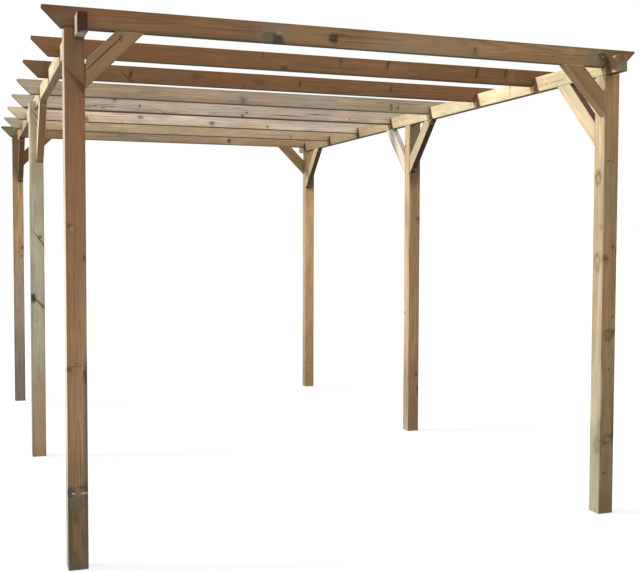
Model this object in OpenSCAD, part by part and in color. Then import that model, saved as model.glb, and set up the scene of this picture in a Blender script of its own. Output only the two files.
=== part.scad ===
// Open timber carport: six square posts, a side beam along each row of posts,
// eight rafters cross-halved over both beams, and a knee brace wherever a post
// meets a side beam or an end rafter.
// X runs across the width, with +X to the right. Y runs from the front to the
// rear, and Z up from the ground. The origin is on the ground, at the middle.

/* [Frame] */
// Width over the outer faces of the two rows of posts
frame_w = 2920; // [2000:10:6000]
// Length from the front face of the front posts to the rear face of the rear posts
frame_l = 5050; // [3500:10:8000]
// Clear height from the ground to the underside of the side beams
clear_h = 2390; // [1800:5:3200]

/* [Posts] */
// Side of the square posts
post_w = 90; // [80:1:140]

/* [Side beams] */
// Thickness of a side beam
beam_w = 45; // [35:1:60]
// Height of a side beam
beam_h = 90; // [75:1:160]
// How far each beam runs on past the front and the rear posts
beam_overhang = 125; // [10:5:400]
// Depth of the housings for the rafters in a beam's top edge
beam_notch = 25; // [10:1:35]

/* [Rafters] */
// Thickness of a rafter
rafter_w = 45; // [35:1:60]
// Height of a rafter
rafter_h = 95; // [75:1:160]
// How far each rafter runs on past the outer faces of the posts
rafter_overhang = 95; // [20:5:400]
// Height of the upright tip above the slanted cut at a rafter's end
rafter_tip = 10; // [4:1:40]
// Depth of the housings for the beams in a rafter's lower edge
rafter_notch = 25; // [10:1:35]

/* [Knee braces] */
// Width of a brace, square to its length
brace_w = 90; // [60:1:120]
// Thickness of a brace
brace_t = 45; // [30:1:60]
// Reach of a rafter brace along the rafter, and as far down the post
rafter_brace_leg = 265; // [200:5:600]
// Reach of a beam brace along the beam, and as far down the post
beam_brace_leg = 375; // [200:5:700]

/* [Fits] */
// Clearance on each side of a timber that is let into another
fit_gap = 0.3; // [0.1:0.1:1]

/* [Hidden] */

// The two sides, as the sign of X
LEFT = -1;
RIGHT = 1;

// Three posts stand along each side, and rafters one and eight lie over the end posts
last_post = 2;
last_rafter = 7;

// Heights
beam_top = clear_h + beam_h;
rafter_base = beam_top - beam_notch - rafter_notch;
rafter_top = rafter_base + rafter_h;

// Distances from the middle, across the width
post_outer = frame_w / 2;
post_inner = post_outer - post_w;
beam_outer = post_inner + beam_w;
rafter_end = post_outer + rafter_overhang;

// Distance along the length, from the middle to the outer faces of the end posts
frame_end = frame_l / 2;
beam_end = frame_end + beam_overhang;

// A brace at 45 degrees is cut square to the post and to the timber above it
brace_cut = brace_w * sqrt(2);

// Cuts run on this far past a face that they go through
cut_over = 10;

// Front face of a post and of a rafter, each counted from the front
function post_front(row) = -frame_end + row * (frame_l - post_w) / last_post;
function rafter_front(place) = -frame_end + place * (frame_l - rafter_w) / last_rafter;

// A box on the given side, from its inner to its outer distance from the middle
module side_box(side, inner, outer, front, rear, bottom, top) {
    translate([side > 0 ? inner : -outer, front, bottom])
        cube([outer - inner, rear - front, top - bottom]);
}

// A post: its inner half is cut down to carry the beam, and its outer half
// stands up beside the beam to the height of the rafters' underside
module post(side, row) {
    front = post_front(row);
    color("peru")
        difference() {
            side_box(side, post_inner, post_outer, front, front + post_w, 0, rafter_base);
            side_box(
                side, post_inner - cut_over, beam_outer + fit_gap,
                front - cut_over, front + post_w + cut_over, clear_h, rafter_base + cut_over
            );
        }
}

// A side beam, flush with the inner faces of its posts and housed for every rafter
module side_beam(side) {
    color("burlywood")
        difference() {
            side_box(side, post_inner, beam_outer, -beam_end, beam_end, clear_h, beam_top);
            for (place = [0:last_rafter])
                side_box(
                    side, post_inner - cut_over, beam_outer + cut_over,
                    rafter_front(place) - fit_gap, rafter_front(place) + rafter_w + fit_gap,
                    beam_top - beam_notch, beam_top + cut_over
                );
        }
}

// Outline of a rafter seen from the front, with both ends undercut at 45 degrees
module rafter_outline() {
    undercut = rafter_h - rafter_tip;
    polygon([
        [-rafter_end, rafter_top],
        [-rafter_end, rafter_top - rafter_tip],
        [-rafter_end + undercut, rafter_base],
        [rafter_end - undercut, rafter_base],
        [rafter_end, rafter_top - rafter_tip],
        [rafter_end, rafter_top]
    ]);
}

// A rafter on edge, housed over both beams
module rafter(place) {
    front = rafter_front(place);
    color("tan")
        difference() {
            translate([0, front + rafter_w, 0])
                rotate([90, 0, 0])
                    linear_extrude(rafter_w)
                        rafter_outline();
            for (side = [LEFT, RIGHT])
                side_box(
                    side, post_inner - fit_gap, beam_outer + fit_gap,
                    front - cut_over, front + rafter_w + cut_over,
                    rafter_base - cut_over, rafter_base + rafter_notch
                );
        }
}

// Outline of a brace: the post's face is at x = 0, the timber's underside at y = 0
module brace_outline(leg) {
    polygon([[0, -leg], [0, brace_cut - leg], [leg - brace_cut, 0], [leg, 0]]);
}

// A brace from a corner post in to an end rafter, flush with the rafter's outer face
module rafter_brace(side, front) {
    color("sienna")
        translate([side * post_inner, front + brace_t, rafter_base])
            rotate([90, 0, 0])
                linear_extrude(brace_t)
                    scale([-side, 1])
                        brace_outline(rafter_brace_leg);
}

// A brace from a post's front or rear face to the beam, flush with the beam's inner face.
// face_y is the post's face, and heading is 1 towards the rear or -1 towards the front
module beam_brace(side, face_y, heading) {
    color("goldenrod")
        translate([side > 0 ? post_inner : -post_inner - brace_t, face_y, clear_h])
            rotate([90, 0, 90])
                linear_extrude(brace_t)
                    scale([heading, 1])
                        brace_outline(beam_brace_leg);
}

// The four beam braces of one side, counted from the front
module beam_brace_at(side, number) {
    if (number == 1) beam_brace(side, post_front(0) + post_w, 1);
    if (number == 2) beam_brace(side, post_front(1), -1);
    if (number == 3) beam_brace(side, post_front(1) + post_w, 1);
    if (number == 4) beam_brace(side, post_front(last_post), -1);
}

post(LEFT, 0);  // post_front_left
post(LEFT, 1);  // post_middle_left
post(LEFT, 2);  // post_rear_left
post(RIGHT, 0);  // post_front_right
post(RIGHT, 1);  // post_middle_right
post(RIGHT, 2);  // post_rear_right
side_beam(LEFT);  // side_beam_left
side_beam(RIGHT);  // side_beam_right
rafter(0);  // rafter_1
rafter(1);  // rafter_2
rafter(2);  // rafter_3
rafter(3);  // rafter_4
rafter(4);  // rafter_5
rafter(5);  // rafter_6
rafter(6);  // rafter_7
rafter(7);  // rafter_8
rafter_brace(LEFT, -frame_end);  // rafter_brace_front_left
rafter_brace(LEFT, frame_end - brace_t);  // rafter_brace_rear_left
rafter_brace(RIGHT, -frame_end);  // rafter_brace_front_right
rafter_brace(RIGHT, frame_end - brace_t);  // rafter_brace_rear_right
beam_brace_at(LEFT, 1);  // beam_brace_left_1
beam_brace_at(LEFT, 2);  // beam_brace_left_2
beam_brace_at(LEFT, 3);  // beam_brace_left_3
beam_brace_at(LEFT, 4);  // beam_brace_left_4
beam_brace_at(RIGHT, 1);  // beam_brace_right_1
beam_brace_at(RIGHT, 2);  // beam_brace_right_2
beam_brace_at(RIGHT, 3);  // beam_brace_right_3
beam_brace_at(RIGHT, 4);  // beam_brace_right_4
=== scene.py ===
# %% [markdown]
# # Dressing an open timber carport
# The carport is twenty-eight softwood timbers: six square posts, two side
# beams, eight rafters and twelve knee braces. Their solids come ready sized
# from the CAD frame. This lesson planes each timber again with Blender's own
# modelling tools, so that it gains eased edges, drying splits and sunk screws,
# and then gives it a softwood finish made only of shader nodes.

import math
import random

import bpy
from mathutils import Matrix, Vector


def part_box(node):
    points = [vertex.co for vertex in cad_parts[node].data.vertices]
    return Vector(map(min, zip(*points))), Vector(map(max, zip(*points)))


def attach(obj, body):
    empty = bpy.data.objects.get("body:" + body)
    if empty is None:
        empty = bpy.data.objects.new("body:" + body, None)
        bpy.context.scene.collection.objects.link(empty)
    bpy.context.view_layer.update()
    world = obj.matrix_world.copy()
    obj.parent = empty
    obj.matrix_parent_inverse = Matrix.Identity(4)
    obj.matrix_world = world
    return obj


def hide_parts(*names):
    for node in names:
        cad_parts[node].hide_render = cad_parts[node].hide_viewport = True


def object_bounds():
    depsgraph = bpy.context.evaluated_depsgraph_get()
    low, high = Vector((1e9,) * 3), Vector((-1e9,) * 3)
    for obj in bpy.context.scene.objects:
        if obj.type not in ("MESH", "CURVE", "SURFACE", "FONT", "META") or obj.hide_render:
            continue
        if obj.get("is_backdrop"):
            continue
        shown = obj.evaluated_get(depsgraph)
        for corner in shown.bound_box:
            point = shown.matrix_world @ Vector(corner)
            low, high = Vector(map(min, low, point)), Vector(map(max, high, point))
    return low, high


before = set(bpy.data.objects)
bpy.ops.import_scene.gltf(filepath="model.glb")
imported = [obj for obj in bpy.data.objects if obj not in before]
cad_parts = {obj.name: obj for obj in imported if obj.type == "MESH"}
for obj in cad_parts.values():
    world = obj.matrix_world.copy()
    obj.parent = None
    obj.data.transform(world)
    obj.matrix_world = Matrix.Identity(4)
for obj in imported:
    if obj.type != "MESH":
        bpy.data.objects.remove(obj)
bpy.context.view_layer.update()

# %% [markdown]
# ## Where the viewer stands
# A person stands in front of the left-hand post, a little outside it, and
# looks slightly down and to the right with a short portrait lens. The camera
# could be aimed with a constraint, but three plain turns in a row keep it easy
# to read: tip it up to the horizon, then turn it, with a touch of roll.

# %% Camera
eye = Vector((-1.882, -7.042, 1.501))
turn_right = math.radians(19.784)
look_down = math.radians(2.706)
roll = math.radians(0.18)

lens = bpy.data.cameras.new("eye_level")
lens.lens = 55.53
lens.sensor_width = 36.0
camera = bpy.data.objects.new("eye_level", lens)
bpy.context.scene.collection.objects.link(camera)
aim = Matrix.Rotation(-turn_right, 4, "Z")
aim = aim @ Matrix.Rotation(math.radians(90) - look_down, 4, "X")
camera.matrix_world = Matrix.Translation(eye) @ aim @ Matrix.Rotation(roll, 4, "Z")
bpy.context.scene.camera = camera
print("camera", [round(v, 2) for v in eye], "lens", round(lens.lens, 1), "mm")

# %% [markdown]
# ## Light
# Timber shows its grain in plain, even light. One soft lamp stands high on the
# left and a little behind the frame, so left-hand and top faces are lit. A very
# broad, weaker one fills the front faces. The view transform is Standard, so
# that a colour comes out about as it is written.

# %% Lamps
scene = bpy.context.scene
scene.view_settings.view_transform = "Standard"


def studio_lamp(name, toward, energy, spread):
    """A far-off lamp, seen in the direction toward, and spread degrees wide."""
    data = bpy.data.lights.new(name, "SUN")
    data.energy = energy
    data.angle = math.radians(spread)
    lamp = bpy.data.objects.new(name, data)
    scene.collection.objects.link(lamp)
    lamp.matrix_world = toward.to_track_quat("Z", "Y").to_matrix().to_4x4()


toward_lamp = Vector((-0.75, 0.26, 0.58)).normalized()
studio_lamp("soft_key", toward_lamp, energy=2.3, spread=6)
studio_lamp("front_fill", Vector((0.1, -0.95, 0.3)), energy=1.0, spread=70)
print("lamp comes from", [round(v, 2) for v in toward_lamp])

# %% [markdown]
# ## White surroundings
# The world is an even white dome. It lights the timber a little less strongly
# than it looks: Light Path tells the viewer's own rays from all the others, and
# they alone meet the full white.

# %% White dome
dome_strength = 0.85
seen_strength = 1.0
dome = bpy.data.worlds.new("white_dome")
scene.world = dome
dome.use_nodes = True
tree = dome.node_tree
tree.nodes.clear()
ray = tree.nodes.new("ShaderNodeLightPath")
mix = tree.nodes.new("ShaderNodeMixShader")
tree.links.new(ray.outputs["Is Camera Ray"], mix.inputs[0])
for socket, strength in ((mix.inputs[1], dome_strength), (mix.inputs[2], seen_strength)):
    glow = tree.nodes.new("ShaderNodeBackground")
    glow.inputs["Color"].default_value = (1.0, 1.0, 1.0, 1.0)
    glow.inputs["Strength"].default_value = strength
    tree.links.new(glow.outputs[0], socket)
out = tree.nodes.new("ShaderNodeOutputWorld")
tree.links.new(mix.outputs[0], out.inputs["Surface"])
print("dome lights at", dome_strength, "and is seen at", seen_strength)

# %% [markdown]
# ## Small helpers for shader nodes
# A node network is quick to write when a few chores are out of the way: feeding
# a socket with either a plain value or another socket, adding one maths step,
# and, in the second cell, mixing colours and starting a node group with named
# inputs and outputs.

# %% Node helpers for numbers
def feed(tree, socket, value):
    """Links a socket to this one, or writes a number, vector or colour into it."""
    if isinstance(value, bpy.types.NodeSocket):
        tree.links.new(value, socket)
    elif socket.type == "RGBA":
        socket.default_value = (*value, 1.0)
    else:
        socket.default_value = value


def maths(tree, operation, first, second=0.0, third=0.0):
    step = tree.nodes.new("ShaderNodeMath")
    step.operation = operation
    for socket, value in zip(step.inputs, (first, second, third)):
        feed(tree, socket, value)
    return step.outputs[0]


def vector_maths(tree, operation, first, second=(0.0, 0.0, 0.0)):
    step = tree.nodes.new("ShaderNodeVectorMath")
    step.operation = operation
    feed(tree, step.inputs[0], first)
    feed(tree, step.inputs[1], second)
    one_number = operation in ("DOT_PRODUCT", "LENGTH")
    return step.outputs["Value" if one_number else "Vector"]


def split(tree, vector):
    """The X, Y and Z of a vector."""
    step = tree.nodes.new("ShaderNodeSeparateXYZ")
    feed(tree, step.inputs[0], vector)
    return step.outputs


def rise(tree, value, low, high, lowest=0.0, highest=1.0):
    """A smooth step: lowest where value is below low, highest above high."""
    step = tree.nodes.new("ShaderNodeMapRange")
    step.interpolation_type = "SMOOTHSTEP"
    numbers = (value, low, high, lowest, highest)
    for socket, number in zip(step.inputs, numbers):
        feed(tree, socket, number)
    return step.outputs[0]


def noise(tree, place, stretch, detail=2.0):
    """Cloudy noise whose scale along each axis is given by stretch, per metre."""
    cloud = tree.nodes.new("ShaderNodeTexNoise")
    cloud.inputs["Scale"].default_value = 1.0
    cloud.inputs["Detail"].default_value = detail
    feed(tree, cloud.inputs["Vector"], vector_maths(tree, "MULTIPLY", place, stretch))
    return cloud.outputs["Fac"]


number_helpers = (feed, maths, vector_maths, split, rise, noise)
print("ready:", [helper.__name__ for helper in number_helpers])

# %% Node helpers for colours and groups
def blend(tree, share, under, over, mode="MIX"):
    step = tree.nodes.new("ShaderNodeMix")
    step.data_type = "RGBA"
    step.blend_type = mode
    feed(tree, step.inputs[0], share)
    feed(tree, step.inputs[6], under)
    feed(tree, step.inputs[7], over)
    return step.outputs[2]


def multiply(tree, share, colour, tint):
    """The colour times the tint, where share is 1; where it is 0, the colour as it was."""
    return blend(tree, share, colour, tint, "MULTIPLY")


def start_group(name, takes, gives):
    """An empty node group; f, v and c stand for a number, a vector and a colour."""
    tree = bpy.data.node_groups.new(name, "ShaderNodeTree")
    kinds = {"f": "NodeSocketFloat", "v": "NodeSocketVector", "c": "NodeSocketColor"}
    for label, kind in takes.items():
        tree.interface.new_socket(label, in_out="INPUT", socket_type=kinds[kind])
    for label, kind in gives.items():
        tree.interface.new_socket(label, in_out="OUTPUT", socket_type=kinds[kind])
    entry = tree.nodes.new("NodeGroupInput")
    leave = tree.nodes.new("NodeGroupOutput")
    return tree, entry.outputs, leave.inputs


def place_group(tree, group, **values):
    """Adds a copy of a group; an input's name is written with _ for a space."""
    step = tree.nodes.new("ShaderNodeGroup")
    step.node_tree = group
    for label, value in values.items():
        feed(tree, step.inputs[label.replace("_", " ")], value)
    return step.outputs


colour_helpers = (blend, multiply, start_group, place_group)
print("ready:", [helper.__name__ for helper in colour_helpers])

# %% [markdown]
# ## Growth rings
# A plank shows the rings of the log it was sawn from. A flat stripe texture
# would run straight off the edge, so the rings are made as a solid: distance
# from the pith, cut into years. Wherever a saw cut crosses that solid, long
# arches show on the faces and arcs on the ends, and the two always meet.

# %% Growth-ring group
rings, given, result = start_group(
    "growth_rings",
    {"Grain place": "v", "Swirl": "f", "Ring width": "f", "Seed": "f"},
    {"Latewood": "f", "Year": "f"},
)
shifted = vector_maths(rings, "ADD", given["Grain place"], given["Seed"])
wander = maths(rings, "SUBTRACT", noise(rings, shifted, (0.9, 8.0, 8.0)), 0.5)
tremble = maths(rings, "SUBTRACT", noise(rings, shifted, (5.0, 45.0, 45.0)), 0.5)
across = vector_maths(rings, "MULTIPLY", given["Grain place"], (0.0, 1.0, 1.0))
radius = vector_maths(rings, "LENGTH", across)
radius = maths(rings, "MULTIPLY_ADD", wander, 0.030, radius)
radius = maths(rings, "MULTIPLY_ADD", tremble, 0.0035, radius)
radius = maths(rings, "ADD", radius, given["Swirl"])
years = maths(rings, "DIVIDE", radius, given["Ring width"])
within = maths(rings, "FRACT", years)
year = rings.nodes.new("ShaderNodeTexWhiteNoise")
year.noise_dimensions = "1D"
count = maths(rings, "ADD", maths(rings, "FLOOR", years), given["Seed"])
feed(rings, year.inputs["W"], count)
late = maths(rings, "MULTIPLY", rise(rings, within, 0.35, 0.9), rise(rings, within, 1.0, 0.93))
late = maths(rings, "MULTIPLY", late, rise(rings, year.outputs["Value"], -0.4, 0.8))
feed(rings, result["Latewood"], late)
feed(rings, result["Year"], year.outputs["Value"])
print("growth rings:", len(rings.nodes), "nodes")

# %% [markdown]
# ## Knots
# A knot is the foot of a branch. It starts as a point at the pith and widens
# on its way out, and the rings bulge round it. So a knot here is a cone that
# leaves the pith at some angle, with a dark rim of bark, a brown heart, a
# stained halo and a swirl that is added to the ring distance. Each copy hands
# on what the one before it found, and so a timber can have any number. A knot's
# size is its radius where the cone is 45 mm from the pith.

# %% Knot group
so_far = {"Core": "f", "Rim": "f", "Halo": "f", "Swirl": "f"}
size_distance = 0.045
widest_share = 1.5


def handed_on(found):
    """What the knots so far have found, ready to be given to the next one."""
    return {label: found[label] for label in so_far}


knot, given, result = start_group(
    "knot",
    {"Grain place": "v", "Along": "f", "Angle": "f", "Lean": "f", "Size": "f", **so_far},
    so_far,
)
lengthways, level, upward = split(knot, given["Grain place"])
cosine = maths(knot, "COSINE", given["Angle"])
sine = maths(knot, "SINE", given["Angle"])
outward = maths(knot, "MULTIPLY", level, cosine)
outward = maths(knot, "MULTIPLY_ADD", upward, sine, outward)
sideways = maths(knot, "MULTIPLY", upward, cosine)
sideways = maths(knot, "SUBTRACT", sideways, maths(knot, "MULTIPLY", level, sine))
forward = maths(knot, "SUBTRACT", lengthways, given["Along"])
forward = maths(knot, "SUBTRACT", forward, maths(knot, "MULTIPLY", outward, given["Lean"]))
widening = maths(knot, "MAXIMUM", maths(knot, "DIVIDE", outward, size_distance), 0.12)
widening = maths(knot, "MINIMUM", widening, widest_share)
spread = maths(knot, "MULTIPLY", given["Size"], widening)
reach = maths(knot, "MULTIPLY", sideways, sideways)
reach = maths(knot, "MULTIPLY_ADD", forward, forward, reach)
reach = maths(knot, "DIVIDE", maths(knot, "SQRT", reach), spread)
ragged = maths(knot, "SUBTRACT", noise(knot, given["Grain place"], (60.0, 60.0, 60.0)), 0.5)
reach = maths(knot, "MULTIPLY_ADD", ragged, 0.5, reach)
present = rise(knot, outward, 0.0, 0.004)
print("knot so far:", len(knot.nodes), "nodes")

# %% Knot group: heart, rim, halo and swirl
core = maths(knot, "MULTIPLY", rise(knot, reach, 1.05, 0.8), present)
rim = maths(knot, "MULTIPLY", rise(knot, reach, 0.6, 0.95), rise(knot, reach, 1.3, 1.0))
rim = maths(knot, "MULTIPLY", rim, present)
halo = maths(knot, "MULTIPLY", rise(knot, reach, 3.2, 0.9), present)
bulge = maths(knot, "MULTIPLY", rise(knot, reach, 4.0, 0.0), present)
bulge = maths(knot, "MULTIPLY", bulge, given["Size"])
for label, value in (("Core", core), ("Rim", rim), ("Halo", halo)):
    feed(knot, result[label], maths(knot, "MAXIMUM", value, given[label]))
feed(knot, result["Swirl"], maths(knot, "MULTIPLY_ADD", bulge, -1.5, given["Swirl"]))
print("knot:", len(knot.nodes), "nodes")

# %% [markdown]
# ## Stray knots all along a timber
# Softwood sends out branches every foot or so, at any angle. Placing each by
# hand would be slow, so the timber is divided into equal lengths, and random
# numbers drawn from each length's count give its one knot a place, an angle
# and a size. The same count always draws the same numbers.

# %% Stray-knot group
strays, given, result = start_group(
    "stray_knots",
    {"Grain place": "v", "Spacing": "f", "Size": "f", "Seed": "f", **so_far},
    so_far,
)
lengthways = split(strays, given["Grain place"])[0]
count = maths(strays, "FLOOR", maths(strays, "DIVIDE", lengthways, given["Spacing"]))
draw = strays.nodes.new("ShaderNodeTexWhiteNoise")
draw.noise_dimensions = "1D"
feed(strays, draw.inputs["W"], maths(strays, "ADD", count, given["Seed"]))
drawn = strays.nodes.new("ShaderNodeSeparateColor")
feed(strays, drawn.inputs[0], draw.outputs["Color"])
place_drawn, angle_drawn, size_drawn = drawn.outputs
along = maths(strays, "MULTIPLY_ADD", place_drawn, 0.5, maths(strays, "ADD", count, 0.25))
found = place_group(
    strays, knot,
    Grain_place=given["Grain place"],
    Along=maths(strays, "MULTIPLY", along, given["Spacing"]),
    Angle=maths(strays, "MULTIPLY", angle_drawn, 2 * math.pi), Lean=0.2,
    Size=maths(strays, "MULTIPLY", given["Size"], rise(strays, size_drawn, 0.0, 1.0, 0.15, 1.0)),
    **handed_on(given),
)
for label in so_far:
    feed(strays, result[label], found[label])
print("stray knots:", len(strays.nodes), "nodes")

# %% [markdown]
# ## Weathered softwood
# The timber was planed and pressure treated, and has stood outdoors. Faces
# that look up or towards the key lamp take the sun colour, straw and cream, and
# the others keep the shade colour, the brown of the treatment. This is partly
# real bleaching by the sun and partly painted light and shade. It is fixed to
# the way a face looks, so it stays put under any light, and faces that look
# down and away get painted shade as well. Over it come the rings, fine fibre,
# streaks, drying lines, the knots, darker sawn ends, pale worn arrises, and
# damp, greenish feet.

# %% Softwood group: grain and knots
softwood, given, result = start_group(
    "weathered_softwood",
    {
        "Grain place": "v", "Grain facing": "v", "Facing": "v", "Place": "v",
        # The second input on the next line is the share of painted shadow and shade from other
        # timbers.
        "Cross place": "v", "Unbleached": "f",
        "Shade colour": "c", "Sun colour": "c", "Stain colour": "c",
        "Stain": "f", "Grain": "f", "Ring width": "f", "Seed": "f", "Knot size": "f",
        # The first input on the next line is the strength of painted shade on faces that look down.
        "Shelter": "f", "End grain": "f", "Checks": "f", "Grime": "f",
        "Damp": "f", "Damp height": "f",
        **so_far,
    },
    {"Colour": "c", "Roughness": "f", "Height": "f"},
)
wood_place = given["Grain place"]
seeded = vector_maths(softwood, "ADD", wood_place, given["Seed"])
few = place_group(
    softwood, strays, Grain_place=wood_place, Spacing=0.62, Size=given["Knot size"],
    Seed=given["Seed"], **handed_on(given),
)
more = place_group(
    softwood, strays, Grain_place=wood_place, Spacing=0.41,
    Size=maths(softwood, "MULTIPLY", given["Knot size"], 0.45),
    Seed=maths(softwood, "ADD", given["Seed"], 37.0), **handed_on(few),
)
grown = place_group(
    softwood, rings, Grain_place=wood_place, Swirl=more["Swirl"],
    Ring_width=given["Ring width"], Seed=given["Seed"],
)
fibre = noise(softwood, seeded, (5.0, 420.0, 420.0), 3.0)
streak = noise(softwood, seeded, (0.8, 34.0, 34.0), 3.0)
cloud = noise(softwood, seeded, (1.7, 7.0, 7.0), 2.0)
mottle = noise(softwood, seeded, (9.0, 30.0, 30.0), 3.0)
from_middle = split(softwood, vector_maths(softwood, "ABSOLUTE", given["Cross place"]))
edge = maths(softwood, "MINIMUM", from_middle["Y"], from_middle["Z"])
edge = rise(softwood, edge, 0.55, 1.0)
print("softwood so far:", len(softwood.nodes), "nodes")

# %% Softwood group: sun colour and painted shade by the way a face looks
# Faces towards the key lamp get the sun colour: real bleaching, and painted light on the lit side.
to_sun = vector_maths(softwood, "DOT_PRODUCT", given["Facing"], tuple(toward_lamp))
bleached = rise(softwood, to_sun, -0.02, 0.5)
# Where a painted shadow from another timber lies, the sun colour is held back.
outside_painted_shadow = maths(softwood, "SUBTRACT", 1.0, given["Unbleached"])
bleached = maths(softwood, "MULTIPLY", bleached, outside_painted_shadow)
# Faces that look down, forward and to the right get painted shade: a near-black brown laid over
# them.
down_and_away = (0.35, -0.55, -0.76)
underside_shade_share = vector_maths(softwood, "DOT_PRODUCT", given["Facing"], down_and_away)
underside_shade_share = maths(softwood, "MULTIPLY", rise(softwood, underside_shade_share, 0.58, 0.76), given["Shelter"])
colour = blend(softwood, bleached, given["Shade colour"], given["Sun colour"])
colour = blend(softwood, underside_shade_share, colour, (0.050, 0.034, 0.018))
on_top = rise(softwood, split(softwood, given["Facing"])["Z"], 0.6, 0.95)
colour = multiply(softwood, on_top, colour, (0.74, 0.77, 0.80))
print("with sun and shade:", len(softwood.nodes), "nodes")

# %% Softwood group: stains, streaks and grime
stained = maths(softwood, "MULTIPLY", rise(softwood, cloud, 0.42, 0.68), given["Stain"])
colour = blend(softwood, stained, colour, given["Stain colour"])
colour = multiply(softwood, 1.0, colour, rise(softwood, streak, 0.3, 0.7, 0.91, 1.09))
reddish = rise(softwood, noise(softwood, seeded, (2.3, 11.0, 11.0), 1.0), 0.45, 0.7)
colour = multiply(softwood, reddish, colour, (1.06, 0.95, 0.90))
colour = multiply(softwood, 1.0, colour, rise(softwood, mottle, 0.3, 0.7, 0.94, 1.06))
grime = maths(softwood, "MULTIPLY", edge, rise(softwood, cloud, 0.4, 0.62, 0.1, 0.75))
grime = maths(softwood, "MULTIPLY", grime, given["Grime"])
colour = multiply(softwood, grime, colour, (0.66, 0.66, 0.60))
print("with stains and grime:", len(softwood.nodes), "nodes")

# %% Softwood group: rings, fibre and drying lines
ringed = maths(softwood, "MULTIPLY", grown["Latewood"], given["Grain"])
colour = multiply(softwood, ringed, colour, (0.50, 0.36, 0.25))
colour = multiply(softwood, 1.0, colour, rise(softwood, grown["Year"], 0.0, 1.0, 0.93, 1.07))
colour = multiply(softwood, 1.0, colour, rise(softwood, fibre, 0.25, 0.75, 0.9, 1.1))
hair = noise(softwood, seeded, (1.6, 95.0, 95.0), 2.0)
patch = rise(softwood, noise(softwood, seeded, (0.9, 3.0, 3.0), 1.0), 0.5, 0.62)
parting = maths(softwood, "SUBTRACT", hair, 0.75)
parting = maths(softwood, "MULTIPLY_ADD", given["Checks"], 0.09, parting)
drying = maths(softwood, "MULTIPLY", rise(softwood, parting, -0.03, 0.03), patch)
drying = maths(softwood, "MULTIPLY", drying, given["Checks"])
drying = maths(softwood, "MINIMUM", drying, 0.9)
colour = blend(softwood, drying, colour, (0.055, 0.032, 0.018))
print("with rings, fibre and drying lines:", len(softwood.nodes), "nodes")

# %% Softwood group: knots, ends and arrises
knot_tints = (
    ("Halo", 0.5, (0.66, 0.52, 0.38)),
    ("Core", 0.9, (0.50, 0.42, 0.33)),
    ("Rim", 0.85, (0.36, 0.31, 0.25)),
)
for label, strength, tint in knot_tints:
    share = maths(softwood, "MULTIPLY", more[label], strength)
    colour = multiply(softwood, share, colour, tint)
side = split(softwood, vector_maths(softwood, "ABSOLUTE", given["Grain facing"]))
sawn_end = rise(softwood, side["X"], 0.35, 0.7)
end_tone = maths(softwood, "MULTIPLY", sawn_end, given["End grain"])
colour = multiply(softwood, end_tone, colour, (0.26, 0.19, 0.18))
squareness = maths(softwood, "MAXIMUM", side["Y"], side["Z"])
off_square = rise(softwood, squareness, 0.985, 0.9)
arris = maths(softwood, "MULTIPLY", off_square, rise(softwood, sawn_end, 0.3, 0.0))
worn = maths(softwood, "MULTIPLY", arris, rise(softwood, streak, 0.35, 0.6, 0.05, 0.35))
colour = blend(softwood, worn, colour, given["Sun colour"])
print("with knots, ends and arrises:", len(softwood.nodes), "nodes")

# %% Softwood group: damp feet
above_floor = split(softwood, given["Place"])["Z"]
waviness = maths(softwood, "SUBTRACT", cloud, 0.5)
ragged_line = maths(softwood, "MULTIPLY_ADD", waviness, 0.4, above_floor)
above_damp = maths(softwood, "SUBTRACT", ragged_line, given["Damp height"])
damp = maths(softwood, "MULTIPLY", rise(softwood, above_damp, 0.05, -0.05), given["Damp"])
patchy = rise(softwood, mottle, 0.35, 0.65, 0.35, 0.95)
patchy = maths(softwood, "MULTIPLY_ADD", edge, 0.45, patchy)
drier = maths(softwood, "MULTIPLY_ADD", bleached, -0.75, 1.0)
damp = maths(softwood, "MULTIPLY", maths(softwood, "MULTIPLY", damp, patchy), drier)
damp = maths(softwood, "MINIMUM", damp, 1.0)
colour = multiply(softwood, damp, colour, (0.33, 0.36, 0.30))
feed(softwood, result["Colour"], colour)
print("with damp feet:", len(softwood.nodes), "nodes")

# %% Softwood group: roughness and height
rough = rise(softwood, streak, 0.3, 0.7, 0.74, 0.9)
rough = maths(softwood, "MULTIPLY_ADD", more["Core"], -0.2, rough)
feed(softwood, result["Roughness"], rough)
torn_end = maths(softwood, "MULTIPLY", fibre, 0.8)
height = maths(softwood, "MULTIPLY_ADD", grown["Latewood"], 0.35, 0.5)
for relief, amount in ((fibre, 0.5), (drying, -1.6), (more["Rim"], -0.8), (sawn_end, torn_end)):
    height = maths(softwood, "MULTIPLY_ADD", relief, amount, height)
feed(softwood, result["Height"], height)
print("weathered softwood:", len(softwood.nodes), "nodes")

# %% [markdown]
# ## Single marks
# Some marks belong to one spot on one timber: a rust-brown smear, a green
# patch, a painted shadow, a painted highlight. Each is an egg-shaped volume
# with a ragged edge, and whatever wood lies inside it takes its colour. Small
# marks are speckled, and large ones fade out softly.

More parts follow.
